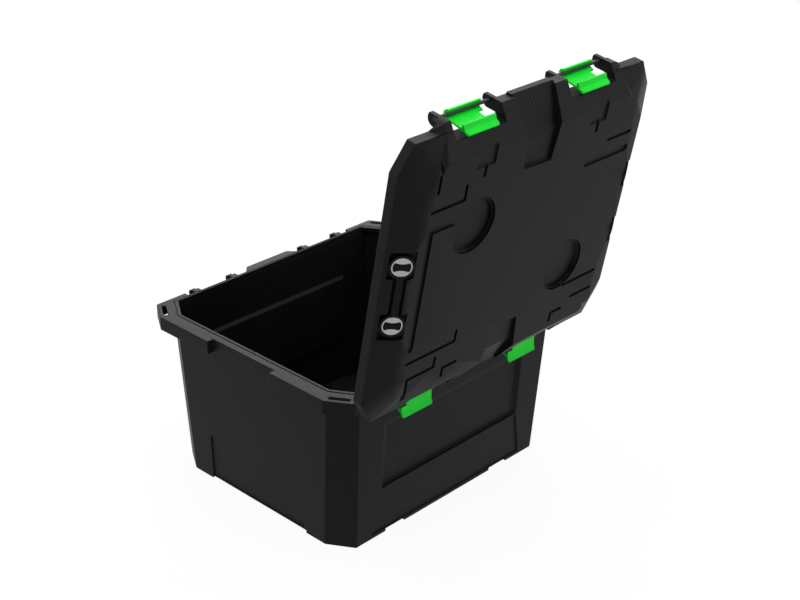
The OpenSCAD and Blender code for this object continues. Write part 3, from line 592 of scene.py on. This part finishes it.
def round_edges(piece, width):
    """Round every sharp edge by the given width, or by less where there is less room."""
    base = piece.data
    work = bmesh.new()
    work.from_mesh(base)
    original = BVHTree.FromBMesh(work)
    layer = work.faces.layers.int[FLAT_NUMBER]
    planes = {}
    for face in sorted(work.faces, key=lambda item: item.calc_area()):
        planes[face[layer]] = (face.normal.copy(), face.verts[0].co.dot(face.normal))
    work.free()
    share = {index: max(0.0, min(1.0, widest / width))
             for index, widest in edge_room(base).items()}
    ends = {index: [base.vertices[v].co for v in base.edges[index].vertices] for index in share}
    weight = base.attributes.new("bevel_weight_edge", "FLOAT", "EDGE")
    alone(piece)
    for attempt in range(ROUNDING_TRIES):
        for index, value in share.items():
            weight.data[index].value = value
        piece.data = base.copy()
        bevel = piece.modifiers.new("Rounded edges", "BEVEL")
        bevel.limit_method = "WEIGHT"
        bevel.width = width
        bevel.segments = ROUNDING_SEGMENTS
        bevel.use_clamp_overlap = False
        bevel.miter_outer = "MITER_SHARP"
        bpy.ops.object.modifier_apply(modifier=bevel.name)
        refilled = refill_flats(piece.data, planes)
        bad = folded_places(piece, original, width)
        if not bad:
            break
        reach = width * (2 + attempt)
        for index, (start, end) in ends.items():
            if any(gap_between(place, start, end) < reach for place in bad):
                share[index] *= 0.5 if attempt < HALVING_TRIES else 0.0
    print("rounded", piece.name, len(piece.data.polygons), "faces, tries", attempt + 1,
          "refilled", refilled, "folds left", len(bad))
    bpy.ops.object.shade_smooth_by_angle(angle=SMOOTH_ANGLE)
    smooth = piece.modifiers.new("Even shading", "WEIGHTED_NORMAL")
    smooth.keep_sharp = True
    smooth.weight = EVEN_SHADING_WEIGHT
    bpy.ops.object.modifier_apply(modifier=smooth.name)


def fit(piece, node):
    """Put the piece in the place of its CAD node, with its body and its finish."""
    piece.data.materials.clear()
    piece.data.materials.append(finish_of(SLOT_OF[node]))
    for polygon in piece.data.polygons:
        polygon.material_index = 0
    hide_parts(node)
    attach(piece, BODY_OF[node])


def mould(node, name, edge):
    """Stand a piece with rounded edges in for a CAD node."""
    piece = copy_of(node, name)
    round_edges(piece, edge)
    fit(piece, node)


# Pieces

class STORAGEBOX_OT_tub(bpy.types.Operator):
    """Make the tub with rounded moulded edges"""
    bl_idname = "storagebox.tub"
    bl_label = "Tub"

    def execute(self, context):
        mould("tub_shell", "tub", context.scene.box_sizes.shell_edge)
        return {"FINISHED"}


class STORAGEBOX_OT_lid(bpy.types.Operator):
    """Make the lid with rounded moulded edges"""
    bl_idname = "storagebox.lid"
    bl_label = "Lid"

    def execute(self, context):
        mould("lid_shell", "lid", context.scene.box_sizes.shell_edge)
        return {"FINISHED"}


class STORAGEBOX_OT_latches(bpy.types.Operator):
    """Make the four latches"""
    bl_idname = "storagebox.latches"
    bl_label = "Latches"

    def execute(self, context):
        sizes = context.scene.box_sizes
        for node in sorted(NODES):
            if node.startswith("latch_"):
                mould(node, node.replace("latch", "green_latch"), sizes.latch_edge)
        return {"FINISHED"}


class STORAGEBOX_OT_rods(bpy.types.Operator):
    """Make the rods that carry the latches and the lid"""
    bl_idname = "storagebox.rods"
    bl_label = "Rods"

    def execute(self, context):
        sizes = context.scene.box_sizes
        for node in sorted(NODES):
            if node.startswith("rod_"):
                mould(node, node.replace("rod", "latch_rod"), sizes.small_edge)
        return {"FINISHED"}


class STORAGEBOX_OT_tie_downs(bpy.types.Operator):
    """Make the tie-down bars with their locks"""
    bl_idname = "storagebox.tie_downs"
    bl_label = "Tie-downs"

    def execute(self, context):
        sizes = context.scene.box_sizes
        for node in sorted(NODES):
            if node.startswith("tie_bar_"):
                mould(node, node + "_moulded", sizes.small_edge * BAR_EDGE_FACTOR)
            elif node.startswith("lock_"):
                mould(node, node.replace("lock", "turn_lock"), sizes.small_edge)
        return {"FINISHED"}


# Stage

CAMERA_PLACE = (1.683351, 1.690333, 1.489173)
CAMERA_RIGHT = (-0.692489, 0.721362, 0.009800)
CAMERA_DOWN = (0.315864, 0.315378, -0.894856)
CAMERA_AHEAD = (-0.648606, -0.616582, -0.446248)
CAMERA_LENS = 70.24
SENSOR_WIDTH = 36.0
NEAREST_SEEN = 0.01

WHITE = (1.0, 1.0, 1.0, 1.0)
FLOOR_COLOR = (0.82, 0.82, 0.82, 1.0)
FLOOR_ROUGHNESS = 0.9
FLOOR_WHITENESS = 0.94
SURROUNDINGS_LIGHT = 0.42

# Name, place, what it points at, size and power of each softbox
SOFTBOXES = (
    ("Top softbox", (0.2, 0.3, 3.2), (0.0, 0.0, 0.2), 2.6, 70.0),
    ("Left softbox", (2.6, -1.6, 1.6), (0.0, 0.0, 0.3), 1.6, 26.0),
    ("Right softbox", (-1.8, 2.8, 1.7), (0.0, 0.1, 0.4), 1.6, 22.0),
    ("Back softbox", (-2.1, -2.0, 1.75), (0.0, 0.0, 0.3), 2.4, 70.0),
)


class STORAGEBOX_OT_stage(bpy.types.Operator):
    """Make the camera, the lamps, the world and the white floor"""
    bl_idname = "storagebox.stage"
    bl_label = "Stage"

    def execute(self, context):
        bpy.ops.object.select_all(action="DESELECT")
        self.camera(context.scene)
        self.floor(context)
        self.surroundings(context.scene)
        for softbox in SOFTBOXES:
            self.lamp(*softbox)
        context.scene.view_settings.view_transform = "Standard"
        return {"FINISHED"}

    def camera(self, scene):
        """Set the camera where the photograph was taken from."""
        data = bpy.data.cameras.new("Camera")
        camera = bpy.data.objects.new("Camera", data)
        scene.collection.objects.link(camera)
        data.lens = CAMERA_LENS
        data.sensor_width = SENSOR_WIDTH
        data.clip_start = NEAREST_SEEN
        right, down, ahead = Vector(CAMERA_RIGHT), Vector(CAMERA_DOWN), Vector(CAMERA_AHEAD)
        turn = Matrix((right, -down, -ahead)).transposed()
        camera.matrix_world = Matrix.Translation(CAMERA_PLACE) @ turn.to_4x4()
        scene.camera = camera

    def floor(self, context):
        """Add a floor that stays white to the eye and still takes a soft shadow."""
        size = context.scene.box_sizes.floor_size
        bpy.ops.mesh.primitive_plane_add(size=size, location=(0, 0, 0))
        floor = context.active_object
        floor.name = "floor"
        shade = Shade("white floor")
        shade.set(Base_Color=FLOOR_COLOR, Roughness=FLOOR_ROUGHNESS)
        glow = shade.node("ShaderNodeEmission", {}, {"Color": WHITE, "Strength": 1.0})
        blend = shade.node("ShaderNodeMixShader", {}, {
            0: shade.not_lighting() * FLOOR_WHITENESS,
            1: Term(shade, shade.surface.outputs[0]), 2: glow})
        shade.feed(shade.tree.nodes["Material Output"].inputs["Surface"], blend)
        floor.data.materials.append(shade.material)

    def surroundings(self, scene):
        """White surroundings for the eye and for reflections, a level grey as light."""
        world = bpy.data.worlds.new("Studio")
        scene.world = world
        world.use_nodes = True
        world.node_tree.nodes.clear()
        shade = NodeTree(world.node_tree)
        lit = shade.node("ShaderNodeBackground", {},
                         {"Color": WHITE, "Strength": SURROUNDINGS_LIGHT})
        white = shade.node("ShaderNodeBackground", {}, {"Color": WHITE, "Strength": 1.0})
        choose = shade.node("ShaderNodeMixShader", {}, {0: shade.not_lighting(), 1: lit, 2: white})
        shade.node("ShaderNodeOutputWorld", {}, {"Surface": choose})

    def lamp(self, name, place, target, size, power):
        """Add one square softbox that points at a target."""
        data = bpy.data.lights.new(name, "AREA")
        data.shape = "SQUARE"
        data.size = size
        data.energy = power
        lamp = bpy.data.objects.new(name, data)
        bpy.context.scene.collection.objects.link(lamp)
        aim = Vector(target) - Vector(place)
        lamp.matrix_world = (Matrix.Translation(place)
                             @ aim.to_track_quat("-Z", "Y").to_matrix().to_4x4())


class STORAGEBOX_PT_panel(bpy.types.Panel):
    """Sidebar panel with the sizes, the finishes and the pieces"""
    bl_idname = "STORAGEBOX_PT_panel"
    bl_label = "Storage Box"
    bl_space_type = "VIEW_3D"
    bl_region_type = "UI"
    bl_category = "Storage Box"

    def draw(self, context):
        layout = self.layout
        for group in (context.scene.box_sizes, context.scene.box_finish):
            column = layout.column()
            for name in group.bl_rna.properties.keys():
                if name not in ("rna_type", "name"):
                    column.prop(group, name)
        for operator in OPERATORS:
            layout.operator(operator.bl_idname)


OPERATORS = (STORAGEBOX_OT_stage, STORAGEBOX_OT_tub, STORAGEBOX_OT_lid, STORAGEBOX_OT_latches,
             STORAGEBOX_OT_rods, STORAGEBOX_OT_tie_downs)
CLASSES = (BoxSizes, BoxFinish) + OPERATORS + (STORAGEBOX_PT_panel,)


def register():
    for cls in CLASSES:
        bpy.utils.register_class(cls)
    bpy.types.Scene.box_sizes = bpy.props.PointerProperty(type=BoxSizes)
    bpy.types.Scene.box_finish = bpy.props.PointerProperty(type=BoxFinish)


def unregister():
    del bpy.types.Scene.box_finish
    del bpy.types.Scene.box_sizes
    for cls in reversed(CLASSES):
        bpy.utils.unregister_class(cls)


def main():
    register()
    bpy.ops.storagebox.stage()
    bpy.ops.storagebox.tub()
    bpy.ops.storagebox.lid()
    bpy.ops.storagebox.latches()
    bpy.ops.storagebox.rods()
    bpy.ops.storagebox.tie_downs()


if __name__ == "__main__":
    main()
